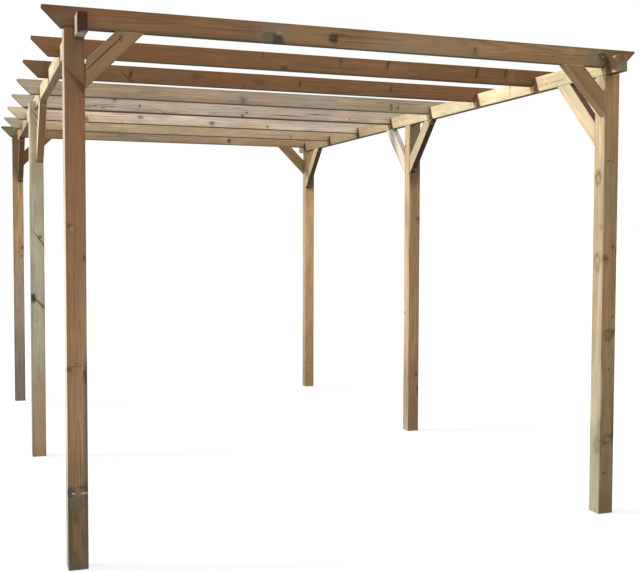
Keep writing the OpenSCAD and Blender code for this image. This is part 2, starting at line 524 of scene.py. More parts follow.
# %% Mark group
marking, given, result = start_group(
    "mark",
    {
        "Place": "v", "Centre": "v", "Radii": "v",
        "Under": "c", "Tint": "c", "Strength": "f", "Speckle": "f",
    },
    {"Colour": "c"},
)
shares = vector_maths(marking, "SUBTRACT", given["Place"], given["Centre"])
shares = vector_maths(marking, "DIVIDE", shares, given["Radii"])
apart = vector_maths(marking, "MULTIPLY", given["Centre"], (60.0, 60.0, 60.0))
shifted = vector_maths(marking, "ADD", shares, apart)
ragged = maths(marking, "SUBTRACT", noise(marking, shifted, (1.3, 1.3, 1.3), 4.0), 0.5)
speckle = noise(marking, given["Place"], (130.0, 130.0, 130.0), 3.0)
speckle = maths(marking, "SUBTRACT", speckle, 0.5)
speckle = maths(marking, "MULTIPLY", speckle, given["Speckle"])
inside = vector_maths(marking, "LENGTH", shares)
inside = maths(marking, "MULTIPLY_ADD", ragged, 1.2, inside)
inside = maths(marking, "MULTIPLY_ADD", speckle, 1.7, inside)
share = maths(marking, "MULTIPLY", rise(marking, inside, 1.2, 0.5), given["Strength"])
flecks = rise(marking, speckle, -0.25, 0.25, 0.75, 1.25)
tinted = multiply(marking, 1.0, given["Tint"], flecks)
feed(marking, result["Colour"], blend(marking, share, given["Under"], tinted))
print("mark:", len(marking.nodes), "nodes")

# %% [markdown]
# ## A finish for one timber
# No two timbers came from the same tree. Each gets its own material, which
# places the shared group with its own colours, seed and pith. A Mapping node
# of the Texture kind turns a place in the frame into grain coordinates: X runs
# along the timber, and the pith lies on the X axis, tipped a little so that the
# rings run out on the faces in long arches. What is usual for a timber is
# written down once, and each timber names only what sets it apart.

# %% Wood colours and the usual settings
wood_colours = {
    "fox": (0.350, 0.205, 0.103),
    "umber": (0.222, 0.113, 0.050),
    "olive": (0.270, 0.160, 0.062),
    "tan": (0.300, 0.190, 0.090),
    "amber": (0.480, 0.285, 0.140),
    "putty": (0.510, 0.470, 0.360),
    "rose": (0.430, 0.325, 0.225),
    "silver": (0.560, 0.455, 0.345),
    "cream": (0.680, 0.565, 0.430),
    "oat": (0.490, 0.370, 0.240),
    "ash": (0.380, 0.350, 0.285),
    "straw": (0.640, 0.510, 0.320),
    "hay": (0.620, 0.520, 0.340),
    "bone": (0.860, 0.820, 0.720),
    "wheat": (0.880, 0.750, 0.480),
}
usual_amounts = {
    "stain": 0.25, "grain": 0.38, "ring_width": 0.0055, "knot_size": 0.010,
    # The first amount on the next line is the strength of painted shade on faces that look down.
    "shelter": 0.9, "end_grain": 0.6, "checks": 0.7, "grime": 1.0,
    "damp": 0.3, "damp_height": 0.2,
}
usual = {
    **usual_amounts, "shade": 1.0, "sun": 1.0, "stain_colour": (0.20, 0.17, 0.10),
    # The next three settings paint shadow and shade from other timbers, and are off as a rule.
    "paints_rafter_shadows": False, "painted_front_shade": False, "painted_shadow_lines": (),
    "knots": (), "spikes": (), "fades": (), "marks": (),
}


def toned(name, strength):
    """A wood colour, made lighter or darker."""
    return tuple(part * strength for part in wood_colours[name])


print("wood colours", list(wood_colours))

# %% [markdown]
# ## Knots that are listed one by one
# Where a large knot catches the eye, the knot group is aimed: the line from the
# pith to a point on a face gives its angle and its place along the timber. A
# spike is a branch that was sawn lengthways, so its cone lies in the face, from
# one point to another.

# %% Knots that are listed one by one
knot_lean = 0.2


def grain_turn(direction):
    """The turn that brings X onto the timber's length, with Z as near up as it can be."""
    return direction.to_track_quat("X", "Z")


def face_knot(tree, grain, from_pith, size, found):
    """A branch that comes out at a point of a face, with its radius there."""
    across = math.hypot(from_pith.y, from_pith.z)
    cone = max(min(across, widest_share * size_distance), 0.006)
    return place_group(
        tree, knot, Grain_place=grain, Along=from_pith.x - knot_lean * across,
        Angle=math.atan2(from_pith.z, from_pith.y), Lean=knot_lean,
        Size=size * size_distance / cone, **handed_on(found),
    )


def spike_knot(tree, grain, begin, way, size, found):
    """A branch that lies in a face: it starts at begin and goes one way."""
    across = math.hypot(way.y, way.z)
    return place_group(
        tree, knot, Grain_place=vector_maths(tree, "SUBTRACT", grain, tuple(begin)),
        Along=0.0, Angle=math.atan2(way.z, way.y), Lean=way.x / across,
        Size=size * size_distance / max(across, 0.03), **handed_on(found),
    )


def set_knots(tree, grain, to_grain, pith, its):
    """All the listed knots in one timber, each handing on to the next."""
    found = dict.fromkeys(so_far, 0.0)
    for point, size in its["knots"]:
        found = face_knot(tree, grain, to_grain @ (point - pith), size, found)
    for start, end, size in its["spikes"]:
        begin, way = to_grain @ (start - pith), to_grain @ (end - start)
        found = spike_knot(tree, grain, begin, way, size, found)
    return found


print("a knot leans by", knot_lean, "and has its full size", size_distance, "m from the pith")

# %% [markdown]
# ## Painted shadows from other timbers
# A beam gets painted shadow, its shade colour, in bands where the rafters cast
# shadows on it, and some faces get painted shade where another timber shades
# them. The bands follow from the rafters' pitch and the slope of the light: a
# point's place between two rafters tells how high the light that reaches it
# passed over the next one.

# %% Painted shadows from other timbers
def painted_rafter_shadow(tree, place):
    """1 where a rafter's shadow is painted on the beam in front of it."""
    first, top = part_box("rafter_1")[0].y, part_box("rafter_1")[1].z
    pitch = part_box("rafter_2")[0].y - first
    back, up = split(tree, place)[1:]
    steps = maths(tree, "DIVIDE", maths(tree, "SUBTRACT", first, back), pitch)
    part_step = maths(tree, "SUBTRACT", steps, maths(tree, "FLOOR", steps))
    ahead = maths(tree, "MULTIPLY", part_step, pitch)
    lit_above = maths(tree, "MULTIPLY_ADD", ahead, toward_lamp.z / toward_lamp.y, up)
    soft = 0.015
    return rise(tree, lit_above, top + soft, top - soft)


def painted_shadow_above_line(tree, place, start, end):
    """1 on the upper side of the line from start to end, seen along X: the side that gets painted
    shadow.
    """
    upward = Vector((1, 0, 0)).cross(Vector(end) - Vector(start)).normalized()
    if upward.z < 0:
        upward = -upward
    offset = vector_maths(tree, "SUBTRACT", place, start)
    soft = 0.005
    return rise(tree, vector_maths(tree, "DOT_PRODUCT", offset, tuple(upward)), -soft, soft)


def painted_shadow_share(tree, place, normal, its):
    """1 where painted shadow or painted shade keeps the shade colour, for any of a timber's reasons.
    """
    share = 0.0
    if its["paints_rafter_shadows"]:
        share = painted_rafter_shadow(tree, place)
    if its["painted_front_shade"]:
        # Faces that look to the front get painted shade.
        to_front = vector_maths(tree, "DOT_PRODUCT", normal, (0.0, -1.0, 0.0))
        share = maths(tree, "MAXIMUM", share, rise(tree, to_front, 0.3, 0.6))
    for start, end in its["painted_shadow_lines"]:
        share = maths(tree, "MAXIMUM", share, painted_shadow_above_line(tree, place, start, end))
    return share


print("light climbs", round(toward_lamp.z / toward_lamp.y, 2), "m for each metre towards the front")

# %% [markdown]
# ## Fades, marks and the material itself
# A fade tints a timber more and more from one place along its length to
# another. The marks come last, over everything else. The Principled shader and
# the bump stay in the material, and the group gives them only colour, roughness
# and height.

# %% Fades and marks
speckled_below = 0.048


def fade_and_mark(tree, colour, place, along, its):
    """The colour with a timber's own fades and marks laid over it."""
    for start, end, tint in its["fades"]:
        colour = multiply(tree, rise(tree, along, start, end), colour, tint)
    for centre, radii, tint, strength in its["marks"]:
        marked = place_group(
            tree, marking, Place=place, Centre=centre, Radii=radii, Under=colour, Tint=tint,
            Strength=strength, Speckle=0.85 if max(radii) < speckled_below else 0.15,
        )
        colour = marked["Colour"]
    return colour


print("marks under", speckled_below, "m are speckled")

# %% Finish for one timber
def own_frame(tree, source, turn, origin=(0.0, 0.0, 0.0), scale=(1.0, 1.0, 1.0)):
    """Reads a place or a direction in a frame that has its own turn, origin and scale."""
    mapping = tree.nodes.new("ShaderNodeMapping")
    mapping.vector_type = "TEXTURE"
    mapping.inputs["Location"].default_value = origin
    mapping.inputs["Rotation"].default_value = turn
    mapping.inputs["Scale"].default_value = scale
    tree.links.new(source, mapping.inputs["Vector"])
    return mapping.outputs[0]


def grain_angles(direction, draw):
    """The timber's own turn, tipped by up to 0.9 degrees two ways, as no log is sawn quite true."""
    tilt = Matrix.Rotation(math.radians(draw.uniform(-0.9, 0.9)), 3, "Y")
    tilt = tilt @ Matrix.Rotation(math.radians(draw.uniform(-0.9, 0.9)), 3, "Z")
    return (grain_turn(direction).to_matrix() @ tilt).to_euler()


def softwood_finish(name, middle, half, direction, pith, shade, sun, seed, its):
    """One timber's material, made from the middle and half sizes of its section and its settings."""
    finish = bpy.data.materials.new(name)
    finish.use_nodes = True
    tree = finish.node_tree
    draw = random.Random(seed)
    turn = grain_angles(direction, draw)
    place = tree.nodes.new("ShaderNodeTexCoord").outputs["Object"]
    normal = tree.nodes.new("ShaderNodeNewGeometry").outputs["Normal"]
    grain = own_frame(tree, place, turn, pith)
    facing = own_frame(tree, normal, turn)
    cross = own_frame(tree, place, grain_turn(direction).to_euler(), middle, (1.0, *half))
    found = set_knots(tree, grain, turn.to_matrix().inverted(), pith, its)
    made = place_group(
        tree, softwood, Grain_place=grain, Grain_facing=facing, Cross_place=cross,
        Place=place, Facing=normal, Unbleached=painted_shadow_share(tree, place, normal, its),
        Shade_colour=toned(shade, its["shade"]), Sun_colour=toned(sun, its["sun"]),
        Stain_colour=its["stain_colour"], Seed=draw.uniform(0.0, 60.0),
        **{label.capitalize(): its[label] for label in usual_amounts}, **handed_on(found),
    )
    along = vector_maths(tree, "DOT_PRODUCT", place, tuple(direction))
    colour = fade_and_mark(tree, made["Colour"], place, along, its)
    bump = tree.nodes.new("ShaderNodeBump")
    bump.inputs["Strength"].default_value = 0.55
    bump.inputs["Distance"].default_value = 0.0012
    tree.links.new(made["Height"], bump.inputs["Height"])
    shader = tree.nodes["Principled BSDF"]
    shader.inputs["Specular IOR Level"].default_value = 0.3
    tree.links.new(colour, shader.inputs["Base Color"])
    tree.links.new(made["Roughness"], shader.inputs["Roughness"])
    tree.links.new(bump.outputs["Normal"], shader.inputs["Normal"])
    return finish


print("finish ready, with", len(usual), "settings")

# %% [markdown]
# ## The floor
# The frame stands on a plain white studio floor, wide enough to have no edge in
# sight. Light that leaves the floor for the timber is kept low, as from a yard,
# while a camera sees it white, with only the soft shadow of the frame on it.

# %% White floor
def deselect():
    if bpy.context.mode != "OBJECT":
        bpy.ops.object.mode_set(mode="OBJECT")
    bpy.ops.object.select_all(action="DESELECT")


yard_grey = (0.30, 0.29, 0.27)
seen_white = (0.97, 0.97, 0.97)
deselect()
bpy.ops.mesh.primitive_plane_add(size=160, location=(0, 0, -0.001))
floor = bpy.context.object
floor.name = "studio_floor"
floor_paint = bpy.data.materials.new("studio_floor")
floor_paint.use_nodes = True
tree = floor_paint.node_tree
tree.nodes.clear()
ray = tree.nodes.new("ShaderNodeLightPath")
seen = maths(tree, "MAXIMUM", ray.outputs["Is Camera Ray"], ray.outputs["Is Glossy Ray"])
seen = maths(tree, "MAXIMUM", seen, ray.outputs["Is Transmission Ray"])
paint = tree.nodes.new("ShaderNodeBsdfDiffuse")
tree.links.new(blend(tree, seen, yard_grey, seen_white), paint.inputs["Color"])
glow = tree.nodes.new("ShaderNodeEmission")
glow.inputs["Strength"].default_value = 1.0
mix = tree.nodes.new("ShaderNodeMixShader")
tree.links.new(maths(tree, "MULTIPLY", seen, 0.7), mix.inputs[0])
tree.links.new(paint.outputs[0], mix.inputs[1])
tree.links.new(glow.outputs[0], mix.inputs[2])
out = tree.nodes.new("ShaderNodeOutputMaterial")
tree.links.new(mix.outputs[0], out.inputs["Surface"])
floor.data.materials.append(floor_paint)
floor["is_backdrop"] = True
print("floor", floor.dimensions.x, "m square")

# %% [markdown]
# ## Bench tools
# A joiner has a stock of planed billets, a saw, a way of scoring a line round a
# timber, and a way of building a face up. The same four acts make every timber
# here: add a block at its size, bisect it and throw a side away, bisect it and
# keep both sides, and extrude chosen faces. Faces are chosen by place or by the
# way they look. The last cell holds what every timber gets at the end: joined
# faces, eased edges, and copies for the other places.

# %% Taking up a piece
def take_up(piece):
    deselect()
    bpy.context.view_layer.objects.active = piece
    piece.select_set(True)


def open_mesh(piece, choice=None):
    """Edit mode for one piece, with all of its mesh chosen, or none, or as it was."""
    take_up(piece)
    bpy.ops.object.mode_set(mode="EDIT")
    if choice:
        bpy.ops.mesh.select_all(action=choice)


def close_mesh():
    bpy.ops.object.mode_set(mode="OBJECT")


def settle(piece):
    """Writes a piece's place, turn and size into its mesh."""
    take_up(piece)
    bpy.ops.object.transform_apply(location=True, rotation=True, scale=True)
    return piece


print("ready:", [tool.__name__ for tool in (take_up, open_mesh, close_mesh, settle)])

# %% Bench tools
def billet(name, low, high):
    """A planed block between two corners."""
    deselect()
    low, high = Vector(low), Vector(high)
    bpy.ops.mesh.primitive_cube_add(size=1, location=(low + high) / 2, scale=high - low)
    timber = bpy.context.object
    timber.name = name
    timber.data.name = name
    return settle(timber)


def saw(timber, point, facing, waste=True):
    """Cuts through point. The side that facing looks to is thrown away, if it is waste."""
    open_mesh(timber, "SELECT")
    bpy.ops.mesh.bisect(plane_co=point, plane_no=facing, use_fill=waste, clear_outer=waste)
    close_mesh()


def choose_faces(piece, chosen):
    """Selects the faces for which chosen(centre, normal) is true."""
    open_mesh(piece, "DESELECT")
    bpy.ops.mesh.select_mode(type="FACE")
    close_mesh()
    for face in piece.data.polygons:
        face.select = chosen(face.center, face.normal)


def push(timber, chosen, move):
    """Extrudes the chosen faces."""
    choose_faces(timber, chosen)
    open_mesh(timber)
    bpy.ops.mesh.extrude_region_move(TRANSFORM_OT_translate={"value": move})
    close_mesh()


print("ready:", [tool.__name__ for tool in (billet, saw, choose_faces, push)])

# %% Finishing a timber, and copying it
def tidy_faces(timber):
    """Merges doubles, joins flush faces and points all faces outwards."""
    open_mesh(timber, "SELECT")
    bpy.ops.mesh.remove_doubles(threshold=0.00005)
    bpy.ops.mesh.dissolve_limited(angle_limit=math.radians(0.5))
    bpy.ops.mesh.normals_make_consistent(inside=False)
    close_mesh()


def ease_edges(timber, width=0.003):
    tidy_faces(timber)
    soft = timber.modifiers.new("eased_edges", "BEVEL")
    soft.width = width
    soft.segments = 2
    soft.limit_method = "ANGLE"
    soft.angle_limit = math.radians(30)
    bpy.ops.object.modifier_apply(modifier="eased_edges")


def copy_of(timber, name, move=(0, 0, 0), mirror=(1, 1, 1)):
    """A copy with its own mesh, mirrored about the middle and then moved."""
    take_up(timber)
    bpy.ops.object.duplicate()
    twin = bpy.context.object
    twin.name = name
    twin.data.name = name
    twin.scale = mirror
    twin.location = move
    settle(twin)
    tidy_faces(twin)
    return twin


print("ready:", [tool.__name__ for tool in (tidy_faces, ease_edges, copy_of)])

# %% [markdown]
# ## Posts
# A post is a 90 mm square stick. Its top is stepped: the inner half is a
# shoulder that carries the beam, and the outer half stands on beside the beam.
# The step is made as a joiner would think of it: score the shoulder line across
# the top, then carry the outer half up. One post is made for the left side and
# copied to the other five places, mirrored for the right side. Like every joint
# here, the step is cut a hair clear of the timber that it meets.

# %% Posts
timbers = {}
directions = {}
sides = (("left", 1), ("right", -1))
fit = 0.0003
post_low, post_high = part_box("post_front_left")
beam_low, beam_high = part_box("side_beam_left")
first_post = billet("post", post_low, (post_high.x, post_high.y, beam_low.z))
shoulder = beam_low.x - fit
saw(first_post, (shoulder, 0, 0), (1, 0, 0), waste=False)


def outer_half(centre, normal):
    return normal.z > 0.9 and centre.x < shoulder


push(first_post, outer_half, (0, 0, post_high.z - beam_low.z))
ease_edges(first_post)
for side, flip in sides:
    for row in ("front", "middle", "rear"):
        node = f"post_{row}_{side}"
        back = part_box(node)[0].y - post_low.y
        timbers[node] = copy_of(first_post, f"timber_{node}", (0, back, 0), (flip, 1, 1))
        directions[node] = Vector((0, 0, 1))
bpy.data.objects.remove(first_post)
print("posts", len(timbers), "each", [round(v * 1000) for v in post_high - post_low], "mm")

# %% [markdown]
# ## Side beams
# A side beam runs over the shoulders of its three posts and past the end ones.
# Its top edge is housed for eight rafters. Cutting eight slots with a boolean
# would do, but building the lands up between the slots is cleaner: the beam
# starts at the height of the housings' floors, is scored at both sides of each
# housing, and the faces between are carried up.

# %% Side beams
rafter_nodes = [f"rafter_{number}" for number in range(1, 9)]
rafter_low, rafter_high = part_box("rafter_1")
let_in = 0.025
housing_floor = beam_high.z - let_in
first_beam = billet("beam", beam_low, (beam_high.x, beam_high.y, housing_floor))
housings = []
for node in rafter_nodes:
    low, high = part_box(node)
    housings.append((low.y - fit, high.y + fit))
    for line in housings[-1]:
        saw(first_beam, (0, line, 0), (0, 1, 0), waste=False)


def on_land(centre, normal):
    return normal.z > 0.9 and not any(near < centre.y < far for near, far in housings)


push(first_beam, on_land, (0, 0, let_in))
ease_edges(first_beam)
for side, flip in sides:
    node = f"side_beam_{side}"
    timbers[node] = copy_of(first_beam, f"timber_{node}", mirror=(flip, 1, 1))
    directions[node] = Vector((0, 1, 0))
bpy.data.objects.remove(first_beam)
print("side beams with", len(housings), "housings, length", round(beam_high.y - beam_low.y, 2), "m")

# %% [markdown]
# ## Rafters
# A rafter stands on edge, is let down over both beams, and ends in a slanted
# undercut that leaves a small upright tip. The undercut is a plain saw cut, so
# it is one bisect at each end, after the lower edge has been built down between
# and beyond the two housings.

# %% Rafters
tip_height = 0.010
seat = rafter_low.z + let_in
inner_seat = -beam_high.x - fit
outer_seat = -beam_low.x + fit
first_rafter = billet("rafter", (rafter_low.x, rafter_low.y, seat), rafter_high)
for line in (-outer_seat, -inner_seat, inner_seat, outer_seat):
    saw(first_rafter, (line, 0, 0), (1, 0, 0), waste=False)


def off_seat(centre, normal):
    return normal.z < -0.9 and not inner_seat < abs(centre.x) < outer_seat


push(first_rafter, off_seat, (0, 0, -let_in))
tip = rafter_high.z - tip_height
saw(first_rafter, (rafter_high.x, 0, tip), (1, 0, -1))
saw(first_rafter, (rafter_low.x, 0, tip), (-1, 0, -1))
ease_edges(first_rafter)
for node in rafter_nodes:
    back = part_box(node)[0].y - rafter_low.y
    timbers[node] = copy_of(first_rafter, f"timber_{node}", (0, back, 0))
    directions[node] = Vector((1, 0, 0))
bpy.data.objects.remove(first_rafter)
print("rafters", len(rafter_nodes), "length", round(rafter_high.x - rafter_low.x, 2), "m")

# %% [markdown]
# ## Knee braces
# A brace is a short flat timber, set at 45 degrees in the corner between a post
# and the timber above it, and cut off along both of them. So a billet is added
# flat, turned about Y or X, moved so that its middle line meets the corner, and
# sawn off twice: down the post's face and along the underside. The near left
# one has shrunk away from its post at the top, so it gets a third, thin cut.

# %% One knee brace
thick = 0.045
brace_width = 0.090


def knee_brace(name, corner, heading, reach):
    """A brace from the corner below a timber; heading is level and away from the post."""
    down = Vector((0, 0, -1))
    across, up = thick / 2, brace_width / 2
    brace = billet(name, (-0.5, -across, -up), (0.5, across, up))
    axes = (heading - down, heading.cross(down), heading + down)
    lean = Matrix([axis.normalized() for axis in axes]).transposed().to_4x4()
    middle = reach / 2 - brace_width * math.sqrt(2) / 4
    brace.matrix_world = Matrix.Translation(corner + (heading + down) * middle) @ lean
    settle(brace)
    saw(brace, corner, -heading)
    saw(brace, corner, -down)
    return brace


print("a brace is", thick * 1000, "x", brace_width * 1000, "mm")

# %% Rafter braces
post_inner = post_high.x
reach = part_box("rafter_brace_front_left")[1].x - post_inner
corner = Vector((post_inner, rafter_low.y + thick / 2, rafter_low.z))
first_brace = knee_brace("rafter_brace", corner, Vector((1, 0, 0)), reach)
ease_edges(first_brace)
for end, turn_round in (("front", 1), ("rear", -1)):
    for side, flip in sides:
        node = f"rafter_brace_{end}_{side}"
        timbers[node] = copy_of(first_brace, f"timber_{node}", mirror=(flip, turn_round, 1))
        directions[node] = Vector((flip, 0, 1)).normalized()
bpy.data.objects.remove(first_brace)
shrunk_from = Vector((post_inner, 0, corner.z - 0.180))
saw(timbers["rafter_brace_front_left"], shrunk_from, (-0.042, 0, 0.009))
print("rafter braces reach", round(reach, 3), "m")

# %% Beam braces
low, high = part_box("beam_brace_left_1")
corner = Vector(((low.x + high.x) / 2, low.y, high.z))
first_brace = knee_brace("beam_brace", corner, Vector((0, 1, 0)), high.y - low.y)
ease_edges(first_brace)
for side, flip in sides:
    for number in range(1, 5):
        node = f"beam_brace_{side}_{number}"
        heading = 1 if number % 2 else -1
        low_here, high_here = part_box(node)
        start = low_here.y if heading > 0 else high_here.y
        move = (0, start - heading * low.y, 0)
        timbers[node] = copy_of(first_brace, f"timber_{node}", move, (flip, heading, 1))
        directions[node] = Vector((0, heading, 1)).normalized()
bpy.data.objects.remove(first_brace)
print("timbers made", len(timbers), "of", len(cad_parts))

# %% [markdown]
# ## Drying splits
# Boxed-heart posts and thick rafters split as they dry: long thin openings,
# widest in the middle, that follow the grain. Painted lines would look flat in
# raking light, so the main ones are cut. A four-sided spindle is stretched to
# the length, width and depth of a split, and a boolean takes it out of the
# timber. The cut itself waits until the screws' holes are ready too, so that
# each timber is cut only once.

# %% Tools for cutting out
def spindle(centre, along, inward, length, width, depth):
    """A cutter for one split, with a point at each end."""
    deselect()
    bpy.ops.mesh.primitive_uv_sphere_add(segments=4, ring_count=10, radius=1)
    cutter = bpy.context.object
    across = along.cross(inward)
    turned = Matrix((across * width / 2, inward * depth, along * length / 2)).transposed()
    cutter.matrix_world = Matrix.Translation(centre) @ turned.to_4x4()
    settle(cutter)
    open_mesh(cutter, "SELECT")
    bpy.ops.mesh.normals_make_consistent(inside=False)
    close_mesh()
    return cutter


def join_up(pieces):
    """Makes one piece of several."""
    deselect()
    for piece in pieces:
        piece.select_set(True)
    bpy.context.view_layer.objects.active = pieces[0]
    bpy.ops.object.join()
    return bpy.context.object


def take_out(timber, cutters):
    """Cuts all the cutters out of the timber with one boolean."""
    joined = join_up(cutters)
    take_up(timber)
    cut = timber.modifiers.new("take_out", "BOOLEAN")
    cut.operation = "DIFFERENCE"
    cut.solver = "EXACT"
    cut.use_self = True
    cut.object = joined
    bpy.ops.object.modifier_apply(modifier="take_out")
    bpy.data.objects.remove(joined)


def spot(node, across, back, up):
    """A point of a timber's box: 0 is the left, front or lower side, and 1 the other."""
    low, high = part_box(node)
    return Vector((
        low.x + across * (high.x - low.x),
        low.y + back * (high.y - low.y),
        low.z + up * (high.z - low.z),
    ))


cutting_tools = (spindle, join_up, take_out, spot)
print("ready:", [tool.__name__ for tool in cutting_tools])

# %% Drying splits
split_depth = 0.012
cutters = {node: [] for node in timbers}
chance = random.Random(7)
for node, direction in directions.items():
    if "brace" in node:
        continue
    long_way = max(range(3), key=lambda axis: abs(direction[axis]))
    for _ in range(4 if "post" in node else 5):
        shares = [chance.uniform(0.3, 0.7) for _ in range(3)]
        shares[long_way] = chance.uniform(0.12, 0.9)
        face = chance.choice([axis for axis in range(3) if axis != long_way])
        if "post" not in node:
            face = 1 if "rafter" in node else 0
        shares[face] = chance.choice((0, 1))
        inward = Vector((0, 0, 0))
        inward[face] = 1 - 2 * shares[face]
        length = chance.uniform(0.22, 0.55)
        wide = chance.uniform(0.0011, 0.0022)
        split_cutter = spindle(spot(node, *shares), direction, inward, length, wide, split_depth)
        cutters[node].append(split_cutter)
split_node = "rafter_brace_front_left"
split_middle = spot(split_node, 0.31, 0, 0.60)
inward = Vector((0, 1, 0))
cutters[split_node].append(
    spindle(split_middle, directions[split_node], inward, length=0.27, width=0.0055, depth=0.02)
)
print("splits", sum(len(found) for found in cutters.values()))

# %% [markdown]
# ## Screws
# Every joint is held by countersunk screws: two down through each rafter into
# the beam, two through the standing half of each post, and two through the
# lower edge of each brace at both ends. A head is a twelve-sided disc with a
# coned underside; its top is inset, every second point of the inset is drawn
# in to make a six-lobed recess, and the recess is pushed down. The wood gets a
# coned hole of the same shape, so the heads sit just under its surface.

# %% One screw
def screw_head():
    """A countersunk head with a six-lobed recess."""
    deselect()
    bpy.ops.mesh.primitive_cone_add(vertices=12, radius1=0.0022, radius2=0.0047, depth=0.004)
    head = bpy.context.object
    head.name = "screw_head"
    choose_faces(head, lambda centre, normal: normal.z > 0.9)
    open_mesh(head)
    bpy.ops.mesh.inset(thickness=0.0020)
    bpy.ops.mesh.extrude_region_move(TRANSFORM_OT_translate={"value": (0, 0, -0.0016)})
    close_mesh()
    for point in head.data.vertices:
        in_recess = math.hypot(point.co.x, point.co.y) < 0.0032 and point.co.z > -0.001
        twelfth = round(math.atan2(point.co.y, point.co.x) / math.radians(30))
        if in_recess and twelfth % 2:
            point.co.x *= 0.68
            point.co.y *= 0.68
    return head


def countersink():
    """The cutter for one screw's hole."""
    deselect()
    bpy.ops.mesh.primitive_cone_add(vertices=16, radius1=0.0022, radius2=0.0056, depth=0.0068)
    return bpy.context.object


def set_on(piece, point, outward, sink):
    """Stands a piece on a surface point, its top sink metres under the surface."""
    turn = outward.to_track_quat("Z", "Y").to_matrix().to_4x4()
    half = piece.dimensions.z / 2
    piece.matrix_world = Matrix.Translation(point - outward * (half + sink)) @ turn
    return settle(piece)


pattern = screw_head()
print("a screw head has", len(pattern.data.polygons), "faces")

# %% Where the screws go
screws = []
for node in rafter_nodes:
    for side in (-1, 1):
        for shift, back in ((-0.010, 0.33), (0.010, 0.67)):
            point = spot(node, 0.5, back, 1.0)
            point.x = side * (inner_seat + outer_seat) / 2 + shift
            screws.append((node, point, Vector((0, 0, 1))))
for node in timbers:
    if node.startswith("post"):
        outer = 0.0 if "left" in node else 1.0
        for back in (0.27, 0.73):
            point = spot(node, outer, back, 1.0)
            point.z -= 0.020
            screws.append((node, point, Vector((2 * outer - 1, 0, 0))))
from_end = 0.042
for node, direction in directions.items():
    if "brace" in node:
        low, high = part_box(node)
        level = Vector((direction.x, direction.y, 0)).normalized()
        under = (level - Vector((0, 0, 1))).normalized()
        reach_here = abs((high - low).dot(level))
        foot = (low + high) / 2 - level * reach_here / 2
        foot.z = low.z
        for near in (from_end, reach_here * math.sqrt(2) - from_end):
            for sideways in (-0.009, 0.009):
                point = foot + direction * near + direction.cross(under) * sideways
                screws.append((node, point, under))
print("screws", len(screws))

# %% Cut the holes and set the screws
def family_of(node):
    """Brace, beam, post or rafter."""
    return next(family for family in ("brace", "beam", "post", "rafter") if family in node)


heads = {"rafter": [], "post": [], "brace": []}
for node, point, outward in screws:
    cutters[node].append(set_on(countersink(), point, outward, -0.0005))
    take_up(pattern)
    bpy.ops.object.duplicate()
    heads[family_of(node)].append(set_on(bpy.context.object, point, outward, 0.0012))
bpy.data.objects.remove(pattern)
for node, found in cutters.items():
    if found:
        take_out(timbers[node], found)
screw_pieces = []
for family, found in heads.items():
    joined = join_up(found)
    joined.name = f"{family}_screws"
    joined.data.name = joined.name
    screw_pieces.append(joined)
print("screw pieces", [piece.name for piece in screw_pieces])

# %% [markdown]
# ## Zinc-plated steel
# The screws are zinc plated and have dulled outdoors: metal, grey with a faint
# yellow cast, with rough white patches.

# %% Screw finish
zinc = bpy.data.materials.new("dull_zinc")
zinc.use_nodes = True
tree = zinc.node_tree
place = tree.nodes.new("ShaderNodeTexCoord").outputs["Object"]
mottle = noise(tree, place, (700.0, 700.0, 700.0), 3.0)
shade = blend(tree, rise(tree, mottle, 0.4, 0.65), (0.30, 0.28, 0.24), (0.52, 0.50, 0.45))
shader = tree.nodes["Principled BSDF"]
shader.inputs["Metallic"].default_value = 0.85
tree.links.new(shade, shader.inputs["Base Color"])
tree.links.new(rise(tree, mottle, 0.3, 0.7, 0.35, 0.7), shader.inputs["Roughness"])
for piece in screw_pieces:
    piece.data.materials.clear()
    piece.data.materials.append(zinc)
    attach(piece, "root")
print("screws finished")

# %% [markdown]
# ## Which timber looks how
# The first three rafters and the front posts are brown, the rafters further
# back are silver and cream, and the middle left-hand post has turned grey.
# Faces to the sun run from wheat to bone. Large knots are listed one by one
# where they catch the eye, and the rest are left to chance. A look is a colour
# in the shade, a colour in the sun, and the settings that set this timber apart.

# %% Helpers for looks
looks = {}
mark_depth = 0.02
soft_depth = 0.05


def face_point(node, across, height):
    """A point on a post's front face, height metres above the floor."""
    point = spot(node, across, 0, 0)
    point.z = height
    return point


def on_front(node, across, height, wide, tall, tint, strength):
    """A mark on a post's front face, wide and tall being its half sizes."""
    return (face_point(node, across, height), (wide, mark_depth, tall), tint, strength)


def on_rafter(node, across, up, wide, tall, tint, strength, deep=mark_depth):
    """A mark on a rafter's front face, placed by shares of its length and height."""
    return (spot(node, across, 0, up), (wide, deep, tall), tint, strength)


def dark_line(node, up, tall, strength):
    """A dark line all along a rafter's front face, at the share up of its height; along the lower
    edge it is painted shade.
    """
    return on_rafter(node, 0.5, up, 3.0, tall, (0.075, 0.055, 0.035), strength)


def ring_knot(centre, radii, outline, heart, strength):
    """Two marks, one in the other: a dark ragged ring round a paler heart."""
    core = tuple(radius * 0.5 for radius in radii)
    return (centre, radii, outline, strength), (centre, core, heart, strength)


look_helpers = (face_point, on_front, on_rafter, dark_line, ring_knot)
print("ready:", [helper.__name__ for helper in look_helpers])

